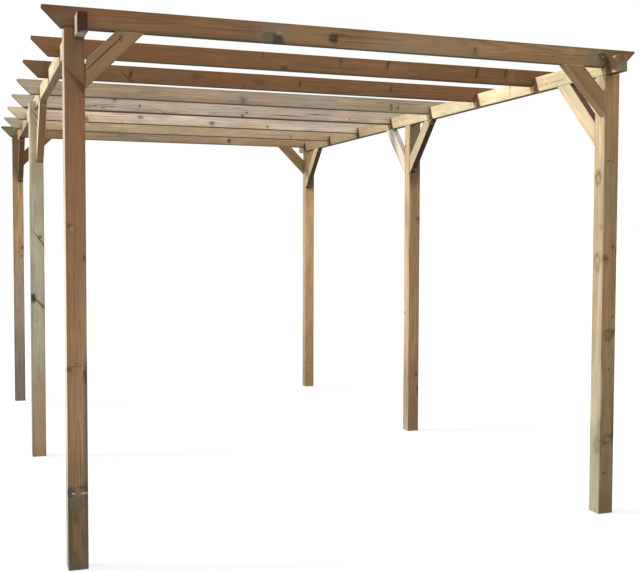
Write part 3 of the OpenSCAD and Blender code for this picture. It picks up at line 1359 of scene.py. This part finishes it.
# %% Look of the near left post
moss = (0.115, 0.105, 0.045)
soot = (0.060, 0.050, 0.040)
rust = (0.330, 0.135, 0.060)
chalk = (0.620, 0.560, 0.470)
slate = (0.110, 0.098, 0.080)
node = "post_front_left"
looks[node] = ("fox", "bone", {
    "sun": 1.12, "stain": 0.3, "damp": 0.7, "damp_height": 0.35,
    "fades": (
        (0.95, 1.75, (0.83, 0.75, 0.72)), (1.95, 2.20, (0.80, 0.77, 0.75)),
        (0.60, 0.43, (0.70, 0.75, 0.77))),
    "knots": (
        (face_point(node, 0.22, 1.557), 0.006), (face_point(node, 0.5, 0.943), 0.003),
        (face_point(node, 0.10, 0.915), 0.006), (face_point(node, 0.98, 0.895), 0.009),
        (face_point(node, 0.12, 0.345), 0.008), (face_point(node, 0.9, 0.35), 0.008)),
    "spikes": ((face_point(node, 0.0, 2.26), face_point(node, 0.85, 2.17), 0.017),),
    "marks": (
        *ring_knot(
            face_point(node, 0.32, 1.545), (0.026, 0.02, 0.030),
            (0.17, 0.105, 0.05), (0.40, 0.29, 0.17), 0.5),
        on_front(node, 1.0, 0.65, 0.018, 0.34, slate, 0.85),
        on_front(node, 1.0, 0.885, 0.022, 0.050, soot, 0.85),
        on_front(node, 0.40, 0.926, 0.034, 0.006, (0.14, 0.09, 0.05), 0.5),
        on_front(node, 0.70, 0.932, 0.026, 0.005, (0.17, 0.11, 0.06), 0.45),
        (spot(node, 0, 0.5, 0), (0.010, 0.09, 0.20), (0.36, 0.34, 0.30), 0.75),
        on_front(node, 0.12, 0.915, 0.014, 0.016, moss, 0.6),
        on_front(node, 0.15, 0.362, 0.026, 0.024, soot, 0.85),
        on_front(node, 0.75, 0.378, 0.026, 0.009, soot, 0.6),
        on_front(node, 0.12, 0.302, 0.022, 0.026, (0.085, 0.090, 0.080), 0.75),
        on_front(node, 0.27, 0.352, 0.009, 0.004, chalk, 0.8),
        on_front(node, 0.80, 0.350, 0.017, 0.007, (0.50, 0.36, 0.26), 0.8),
        on_front(node, 0.94, 0.372, 0.008, 0.012, soot, 0.7),
        on_front(node, 0.55, 0.300, 0.040, 0.030, slate, 0.55),
        on_front(node, 0.05, 0.13, 0.020, 0.17, (0.075, 0.080, 0.030), 0.7),
        on_front(node, 0.95, 0.14, 0.018, 0.22, slate, 0.75),
        on_front(node, 0.34, 0.235, 0.006, 0.020, soot, 0.7),
        on_front(node, 0.68, 0.155, 0.003, 0.045, soot, 0.7),
        on_front(node, 0.45, 0.15, 0.020, 0.08, (0.24, 0.13, 0.065), 0.5),
        on_front(node, 0.25, 2.30, 0.050, 0.11, (0.15, 0.095, 0.045), 0.5))})
print("look of", node)

# %% Look of the near right post
node = "post_front_right"
looks[node] = ("tan", "hay", {
    "stain": 0.35, "damp": 0.3, "damp_height": 0.35,
    "fades": (
        (1.2, 0.5, (0.82, 0.90, 0.84)), (0.2, 0.05, (0.82, 0.82, 0.82)),
        (1.7, 2.2, (1.08, 1.06, 1.03))),
    "knots": (
        (spot(node, 0, 0.52, 0.762), 0.016), (face_point(node, 0.37, 1.929), 0.003),
        (face_point(node, 0.72, 1.467), 0.004), (spot(node, 0, 0.52, 0.581), 0.010),
        (face_point(node, 0.21, 1.403), 0.007), (spot(node, 0, 0.5, 0.155), 0.008)),
    "spikes": (
        (face_point(node, 0.35, 0.960), face_point(node, 0.95, 1.010), 0.009),
        (face_point(node, 0.05, 0.365), face_point(node, 0.9, 0.435), 0.012)),
    "marks": (
        (spot(node, 0, 0.5, 0.10), (0.02, 0.06, 0.25), (0.44, 0.46, 0.33), 0.5),
        (spot(node, 0, 0.5, 0.648), (0.015, 0.09, 0.42), (0.44, 0.33, 0.19), 0.55),
        (spot(node, 0, 0.5, 0.27), (0.015, 0.09, 0.22), (0.74, 0.65, 0.50), 0.35),
        *ring_knot(
            spot(node, 0, 0.56, 0.755), (0.012, 0.030, 0.046),
            (0.22, 0.165, 0.07), (0.48, 0.39, 0.22), 0.8),
        *ring_knot(
            spot(node, 0, 0.54, 0.570), (0.012, 0.034, 0.062),
            (0.25, 0.18, 0.09), (0.52, 0.41, 0.26), 0.7),
        *ring_knot(
            spot(node, 0, 0.30, 0.156), (0.012, 0.026, 0.060),
            (0.23, 0.18, 0.095), (0.44, 0.39, 0.27), 0.6),
        *ring_knot(
            face_point(node, 0.50, 0.985), (0.038, 0.02, 0.036),
            (0.085, 0.06, 0.025), (0.21, 0.15, 0.07), 0.75),
        *ring_knot(
            face_point(node, 0.56, 0.410), (0.040, 0.02, 0.034),
            (0.10, 0.07, 0.035), (0.23, 0.175, 0.09), 0.7),
        on_front(node, 0.22, 1.40, 0.024, 0.034, (0.15, 0.08, 0.035), 0.6),
        on_front(node, 0.72, 1.464, 0.009, 0.014, soot, 0.75),
        on_front(node, 1.0, 1.44, 0.012, 0.030, soot, 0.7),
        on_front(node, 0.34, 1.929, 0.009, 0.005, soot, 0.85),
        on_front(node, 0.62, 1.925, 0.012, 0.005, (0.15, 0.085, 0.04), 0.7))})
print("look of", node)

# %% Looks of the middle posts
node = "post_middle_left"
looks[node] = ("putty", "ash", {
    "stain": 0.15, "damp": 0.3, "damp_height": 0.1,
    "fades": ((1.05, 0.15, (0.66, 0.58, 0.52)),),
    "knots": ((face_point(node, 0.45, 2.375), 0.006),),
    "spikes": (
        (face_point(node, 0.08, 1.568), face_point(node, 0.85, 1.470), 0.009),
        (face_point(node, 0.0, 1.112), face_point(node, 0.65, 1.055), 0.008),
        (face_point(node, 0.0, 2.385), face_point(node, 0.95, 2.275), 0.013),
        (face_point(node, 0.1, 2.330), face_point(node, 0.95, 2.215), 0.008)),
    "marks": (
        # Painted light: a pale mark on the top of the left face, where the rafters' shadow falls.
        (spot(node, 0, 0.5, 0.90), (0.012, 0.09, 0.34), (0.78, 0.67, 0.53), 0.9),
        (spot(node, 0, 0.5, 0.15), (0.010, 0.09, 0.60), (0.27, 0.24, 0.22), 0.8),
        on_front(node, 0.14, 1.095, 0.026, 0.032, (0.035, 0.028, 0.020), 0.95),
        on_front(node, 0.5, 1.98, 0.050, 0.13, (0.42, 0.30, 0.19), 0.6),
        on_front(node, 0.6, 0.22, 0.040, 0.33, (0.42, 0.25, 0.13), 0.6))})
node = "post_middle_right"
looks[node] = ("tan", "straw", {
    "shade": 1.16, "stain": 0.1,
    "fades": ((1.0, 0.3, (0.78, 0.74, 0.84)), (1.0, 1.4, (1.08, 1.02, 0.94))),
    "knots": ((face_point(node, 0.1, 1.250), 0.004),),
    "marks": (
        on_front(node, 1.0, 1.630, 0.012, 0.035, soot, 0.8),
        on_front(node, 0.97, 0.324, 0.017, 0.050, (0.060, 0.040, 0.012), 1.0),
        (spot(node, 0, 0.4, 0.09), (0.015, 0.045, 0.30), (0.38, 0.36, 0.26), 0.7),
        (spot(node, 0, 0.5, 0.70), (0.015, 0.09, 0.24), (0.70, 0.56, 0.39), 0.6),
        # Painted shadow of the front brace on the post's front face, by the brace's foot.
        on_front(node, 0.5, 2.05, 0.080, 0.14, (0.125, 0.075, 0.031), 0.85),
        on_front(node, 0.5, 2.26, 0.080, 0.15, (0.21, 0.165, 0.085), 0.9))})
print("looks of", len(looks), "posts so far")

# %% Looks of the rear posts
looks["post_rear_left"] = ("rose", "tan", {
    "stain": 0.25, "damp": 0.35, "damp_height": 0.35,
    "fades": (
        (0.9, 0.5, (0.68, 0.72, 0.75)), (1.05, 1.50, (1.30, 1.12, 0.86)),
        (1.98, 2.15, (0.50, 0.48, 0.48)))})
node = "post_rear_right"
looks[node] = ("amber", "rose", {
    "shade": 1.25, "sun": 1.12,
    "fades": (
        (0.8, 0.2, (0.76, 0.77, 0.74)), (0.9, 1.5, (1.20, 1.27, 1.28)),
        (1.70, 2.0, (0.80, 0.82, 0.80))),
    "marks": (
        (spot(node, 0, 0.5, 0.725), (0.012, 0.09, 0.46), (0.51, 0.32, 0.18), 0.7),
        # Painted shadow of the brace on the post's front face, by the brace's foot.
        on_front(node, 0.65, 2.11, 0.080, 0.12, (0.11, 0.055, 0.025), 0.95))})
print("looks of", len(looks), "posts")

# %% Look of the left beam
left_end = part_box("side_beam_left")[0]
node = "side_beam_left"
looks[node] = ("oat", "wheat", {
    # The rafters' shadows are painted on this beam.
    "shelter": 0.35, "end_grain": 1.0, "paints_rafter_shadows": True,
    "fades": ((0.6, 1.8, (0.45, 0.40, 0.35)),),
    "marks": (
        # Painted shadow of the first rafter on the sunny side of the beam's overhang.
        (left_end + Vector((-0.004, 0.05, 0.045)), (0.009, 0.11, 0.14), (0.55, 0.42, 0.34), 0.9),
        (left_end + Vector((0.0225, 0, 0.050)), (0.050, 0.012, 0.090), (0.044, 0.016, 0.008), 0.9),
        # A pale underside on the overhang: partly painted light thrown up from the ground, partly
        # bleaching.
        (left_end + Vector((0.02, 0.055, 0)), (0.04, 0.062, 0.012), (0.62, 0.55, 0.47), 1.0))})
print("look of", node, "with", len(looks[node][2]["marks"]), "marks")

# %% Look of the right beam
right_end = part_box("side_beam_right")[0]
# Above this line the first rafter's shadow is painted on the side of the beam's overhang.
shadow_line_start = (right_end.x, rafter_low.y - 0.091, 2.393)
shadow_line_end = (right_end.x, rafter_low.y + 0.003, 2.433)
node = "side_beam_right"
looks[node] = ("tan", "wheat", {
    # The rafters' shadows are painted on this beam, and the first rafter's shadow on its overhang.
    "grain": 0.3, "end_grain": 0.3, "sun": 1.15, "grime": 0.3, "paints_rafter_shadows": True,
    "painted_shadow_lines": ((shadow_line_start, shadow_line_end),),
    "fades": ((-0.95, 1.3, (0.36, 0.31, 0.28)), (-1.90, -2.10, (0.72, 0.76, 0.72))),
    "knots": ((spot(node, 0, 0.132, 0.3), 0.003), (spot(node, 0, 0.307, 0.2), 0.003)),
    "spikes": ((spot(node, 0, 0.2115, 0.0), spot(node, 0, 0.2105, 0.9), 0.005),),
    "marks": (
        # A darker tone for the painted shadow of the first rafter on the overhang.
        (right_end + Vector((0, 0.05, 0.065)), (0.03, 0.12, 0.062), (0.12, 0.065, 0.030), 0.85),
        # Painted highlight on the top arris of the beam's end.
        (right_end + Vector((0, 0.05, 0.086)), (0.006, 0.014, 0.011), wood_colours["bone"], 0.4),
        (right_end + Vector((0, 0.03, 0.066)), (0.02, 0.016, 0.014), rust, 0.4),
        (right_end + Vector((0.036, 0, 0.066)), (0.012, 0.02, 0.024), rust, 0.7),
        (right_end + Vector((0.03, 0, 0.02)), (0.04, 0.02, 0.040), (0.20, 0.155, 0.09), 0.8))})
print("look of", node, "with", len(looks[node][2]["marks"]), "marks")

# %% Look of the first rafter
node = "rafter_1"
looks[node] = ("umber", "straw", {
    "stain": 0.3,
    "fades": (
        (-1.05, -0.4, (1.06, 1.12, 1.14)), (-0.4, 0.35, (1.17, 1.32, 1.38)),
        (0.55, 1.0, (1.0, 0.96, 0.86)), (1.30, 1.37, (0.66, 0.62, 0.54)),
        (-1.28, -1.45, (0.74, 0.74, 0.76))),
    "knots": (
        (spot(node, 0.345, 0, 0.26), 0.008), (spot(node, 0.439, 0, 0.52), 0.008),
        (spot(node, 0.686, 0, 0.36), 0.006), (spot(node, 0.935, 0, 0.56), 0.012),
        (spot(node, 0.834, 0, 0.39), 0.003)),
    "marks": (
        dark_line(node, 1.0, 0.007, 0.5),
        on_rafter(node, 0.342, 0.55, 0.085, 0.075, (0.19, 0.155, 0.105), 0.8),
        on_rafter(node, 0.337, 0.20, 0.050, 0.032, (0.085, 0.078, 0.048), 0.65, deep=soft_depth),
        on_rafter(node, 0.349, 0.10, 0.034, 0.038, (0.045, 0.034, 0.018), 0.9, deep=soft_depth),
        on_rafter(node, 0.350, 0.50, 0.014, 0.010, (0.27, 0.24, 0.20), 0.8),
        on_rafter(node, 0.400, 0.60, 0.150, 0.060, (0.30, 0.18, 0.075), 0.55),
        on_rafter(node, 0.385, 0.08, 0.028, 0.010, (0.34, 0.13, 0.09), 0.6),
        on_rafter(node, 0.450, 0.66, 0.032, 0.009, (0.100, 0.070, 0.032), 0.7, deep=soft_depth),
        on_rafter(node, 0.439, 0.44, 0.031, 0.026, (0.046, 0.030, 0.011), 0.9, deep=soft_depth),
        on_rafter(node, 0.580, 0.50, 0.300, 0.090, (0.28, 0.195, 0.115), 0.55),
        on_rafter(node, 0.687, 0.45, 0.008, 0.010, moss, 0.8),
        on_rafter(node, 0.685, 0.15, 0.020, 0.012, (0.13, 0.10, 0.05), 0.6),
        on_rafter(node, 0.870, 0.7, 0.035, 0.03, (0.36, 0.20, 0.13), 0.5),
        on_rafter(node, 0.918, 0.5, 0.055, 0.07, (0.165, 0.155, 0.085), 0.75),
        on_rafter(node, 0.934, 0.55, 0.030, 0.024, (0.055, 0.045, 0.030), 0.85),
        on_rafter(node, 0.934, 0.55, 0.009, 0.007, (0.20, 0.18, 0.11), 0.9))})
print("look of", node, "with", len(looks[node][2]["marks"]), "marks")

# %% Looks of the other brown rafters
node = "rafter_2"
looks[node] = ("umber", "straw", {
    "fades": (
        (0.0, 0.2, (1.08, 1.06, 1.0)), (0.4, 0.7, (0.88, 0.86, 0.80)),
        (1.05, 1.35, (0.84, 0.86, 0.84))),
    "knots": (
        (spot(node, 0.434, 0, 0.15), 0.004), (spot(node, 0.536, 0, 0.45), 0.006),
        (spot(node, 0.631, 0, 0.65), 0.005), (spot(node, 0.878, 0, 0.68), 0.006)),
    "marks": (
        on_rafter(node, 0.430, 0.10, 0.022, 0.018, (0.10, 0.045, 0.022), 0.7),
        on_rafter(node, 0.534, 0.45, 0.020, 0.040, (0.31, 0.19, 0.10), 0.35),
        on_rafter(node, 0.640, 0.50, 0.022, 0.034, (0.31, 0.19, 0.10), 0.2),
        on_rafter(node, 0.892, 0.45, 0.030, 0.030, (0.30, 0.19, 0.10), 0.25))})
node = "rafter_3"
looks[node] = ("umber", "straw", {
    "fades": ((-1.0, -0.8, (0.92, 0.88, 0.86)), (-0.3, 0.0, (1.09, 1.13, 1.14))),
    "knots": (
        (spot(node, 0.538, 0, 0.42), 0.005), (spot(node, 0.739, 0, 0.45), 0.005)),
    "spikes": ((spot(node, 0.173, 0, 0.83), spot(node, 0.200, 0, 0.01), 0.006),),
    "marks": (
        on_rafter(node, 0.324, 0.62, 0.045, 0.018, (0.085, 0.070, 0.035), 0.75),
        on_rafter(node, 0.452, 0.49, 0.045, 0.020, (0.10, 0.065, 0.035), 0.6),
        on_rafter(node, 0.03, 0.5, 0.10, 0.06, (0.13, 0.09, 0.04), 0.6))})
print("looks of three brown rafters")

# %% Looks of the silver rafters
tail_start, tail_end = -1.25, -1.45
node = "rafter_4"
looks[node] = ("rose", "bone", {
    "shade": 1.06,
    "fades": (
        (tail_start, tail_end, (1.0, 1.13, 1.24)), (-0.3, 0.0, (0.91, 1.02, 1.13)),
        (0.45, 0.75, (0.98, 0.98, 0.92))),
    "knots": ((spot(node, 0.481, 0, 0.36), 0.006), (spot(node, 0.853, 0, 0.37), 0.006)),
    "marks": (
        # The line along the lower edge is painted shade from the underside.
        dark_line(node, 0.0, 0.004, 0.7),
        on_rafter(node, 0.275, 0.60, 0.090, 0.022, (0.24, 0.215, 0.13), 0.5),
        on_rafter(node, 0.482, 0.40, 0.034, 0.036, (0.20, 0.155, 0.11), 0.6),
        on_rafter(node, 0.860, 0.50, 0.300, 0.090, (0.35, 0.290, 0.190), 0.6),
        on_rafter(node, 0.842, 0.38, 0.014, 0.030, (0.115, 0.09, 0.055), 0.7),
        on_rafter(node, 0.860, 0.36, 0.012, 0.028, (0.115, 0.09, 0.055), 0.7))})
node = "rafter_5"
looks[node] = ("silver", "bone", {
    "shade": 1.08, "stain": 0.1, "checks": 0.9, "grain": 0.55,
    "fades": (
        (tail_start, tail_end, (0.88, 0.99, 1.05)), (-1.15, -0.85, (0.94, 1.0, 1.07)),
        (0.2, 0.5, (1.11, 1.08, 1.12)), (0.9, 1.1, (0.91, 0.93, 0.84))),
    "knots": ((spot(node, 0.544, 0, 0.17), 0.008), (spot(node, 0.291, 0, 0.55), 0.006)),
    "spikes": ((spot(node, 0.301, 0, 0.66), spot(node, 0.341, 0, 0.22), 0.004),),
    "marks": (
        # The line along the lower edge is painted shade from the underside.
        dark_line(node, 0.0, 0.011, 0.95),
        on_rafter(node, 0.170, 0.30, 0.030, 0.008, (0.19, 0.15, 0.11), 0.7),
        on_rafter(node, 0.187, 0.38, 0.022, 0.007, (0.16, 0.12, 0.09), 0.75),
        on_rafter(node, 0.205, 0.30, 0.026, 0.007, (0.19, 0.15, 0.11), 0.7),
        on_rafter(node, 0.225, 0.38, 0.020, 0.006, (0.20, 0.16, 0.12), 0.6))})
print("tails of the rafters fade from", tail_start, "to", tail_end, "m")

# %% Looks of the cream rafters and the last one
node = "rafter_6"
looks[node] = ("cream", "bone", {
    "shade": 1.08,
    "fades": ((tail_start, tail_end, (1.02, 1.02, 0.96)), (-0.2, 0.4, (0.98, 1.04, 1.10))),
    "knots": ((spot(node, 0.523, 0, 0.32), 0.007), (spot(node, 0.331, 0, 0.58), 0.007)),
    "marks": (
        # The line along the lower edge is painted shade from the underside.
        dark_line(node, 0.0, 0.006, 0.8),
        on_rafter(node, 0.331, 0.62, 0.026, 0.016, (0.26, 0.20, 0.13), 0.7),
        on_rafter(node, 0.522, 0.36, 0.028, 0.020, (0.22, 0.20, 0.15), 0.8))})
node = "rafter_7"
looks[node] = ("oat", "bone", {
    # The line along the lower edge is painted shade from the underside.
    "shade": 1.10, "marks": (dark_line(node, 0.0, 0.005, 0.7),),
    "fades": (
        (tail_start, tail_end, (0.86, 0.92, 0.96)), (-0.1, -0.5, (1.08, 1.12, 1.14)),
        (0.8, 1.3, (0.98, 0.93, 0.86)))})
node = "rafter_8"
looks[node] = ("oat", "straw", {
    "shade": 0.80,
    "fades": (
        (-0.80, -1.05, (0.80, 0.64, 0.52)), (0.2, 0.6, (1.06, 1.04, 1.0)),
        (0.85, 1.1, (0.96, 0.88, 0.76)), (tail_start, tail_end, (0.82, 1.05, 1.35))),
    "knots": ((spot(node, 0.688, 0, 0.45), 0.007),),
    "marks": (
        on_rafter(node, 0.688, 0.42, 0.026, 0.022, (0.055, 0.042, 0.020), 0.85),
        on_rafter(node, 0.345, 0.50, 0.006, 0.040, (0.16, 0.11, 0.06), 0.6),
        on_rafter(node, 0.506, 0.50, 0.006, 0.040, (0.16, 0.11, 0.06), 0.6))})
print("looks of", len(looks), "timbers so far")

# %% Looks of the braces
# The brace settings below also set the strength of painted shade on each brace's down-looking faces.
joint = Vector((post_inner, rafter_low.y, rafter_low.z - 0.20))
looks["rafter_brace_front_left"] = ("fox", "straw", {"shade": 0.82, "marks": (
    (joint, (0.004, 0.05, 0.09), (0.05, 0.03, 0.02), 0.9),
    (joint + Vector((0.16, 0, 0.17)), (0.012, 0.02, 0.020), (0.10, 0.06, 0.035), 0.6))})
# A strong sun colour: painted light from the ground on the brace's underside.
looks["rafter_brace_front_right"] = ("olive", "straw", {"sun": 2.1, "shelter": 0.0})
looks["rafter_brace_rear_left"] = ("umber", "straw", {"shelter": 1.0})
looks["rafter_brace_rear_right"] = ("tan", "straw", {"shade": 1.08, "shelter": 0.4})
# Faces that look to the front, the upper face among them, get painted shade.
looks["beam_brace_right_1"] = ("umber", "wheat", {"shade": 0.7, "sun": 0.93, "painted_front_shade": True})
looks["beam_brace_right_2"] = ("umber", "wheat", {"sun": 0.75, "shelter": 1.0})
looks["beam_brace_right_3"] = ("silver", "bone", {"stain_colour": (0.64, 0.60, 0.46), "stain": 0.6})
looks["beam_brace_right_4"] = ("umber", "straw", {"shelter": 1.0})
looks["beam_brace_left_1"] = ("tan", "wheat", {"shade": 1.2, "shelter": 0.2})
looks["beam_brace_left_2"] = ("tan", "wheat", {"shade": 1.25, "shelter": 0.15})
looks["beam_brace_left_3"] = ("tan", "straw", {"shelter": 0.3})
# Painted shade: this brace's sunny faces keep the shade colour.
looks["beam_brace_left_4"] = ("umber", "umber", {"shelter": 0.4})
print("looks of", len(looks), "timbers in all")

# %% Finish every timber
half_sections = {
    "post": (0.045, 0.045), "beam": (0.0225, 0.0475), "rafter": (0.0225, 0.0475),
    "brace": (0.0225, 0.045),
}
pith_offsets = {"post": (0.008, 0.022)}
for number, node in enumerate(timbers):
    shade, sun, settings = looks[node]
    family = family_of(node)
    direction = directions[node]
    low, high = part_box(node)
    upright = grain_turn(direction)
    middle = (low + high) / 2
    draw = random.Random(100 + number)
    offset = draw.uniform(*pith_offsets.get(family, (0.03, 0.06)))
    aside = Matrix.Rotation(draw.uniform(0, 2 * math.pi), 3, "X") @ Vector((0, 0, offset))
    pith = middle + upright @ aside
    if family == "brace":
        middle = middle + upright @ Vector((0, 0, 0.045))
    finish = softwood_finish(
        f"softwood_{node}", middle, half_sections[family], direction, pith,
        shade, sun, number, {**usual, **settings},
    )
    timber = timbers[node]
    timber.data.materials.clear()
    timber.data.materials.append(finish)
    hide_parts(node)
    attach(timber, "root")
print("finished", len(looks), "timbers")

# %% [markdown]
# ## Size of the dressed timbers
# The dressed timbers must fill no more room than the solids that they replace,
# so the box round all that is shown is printed, with the count of faces.

# %% Sizes
faces = sum(len(piece.data.loop_triangles) or len(piece.data.polygons) for piece in timbers.values())
low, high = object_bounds()
print("visual box", [round(side, 4) for side in high - low], "m,", faces, "faces")
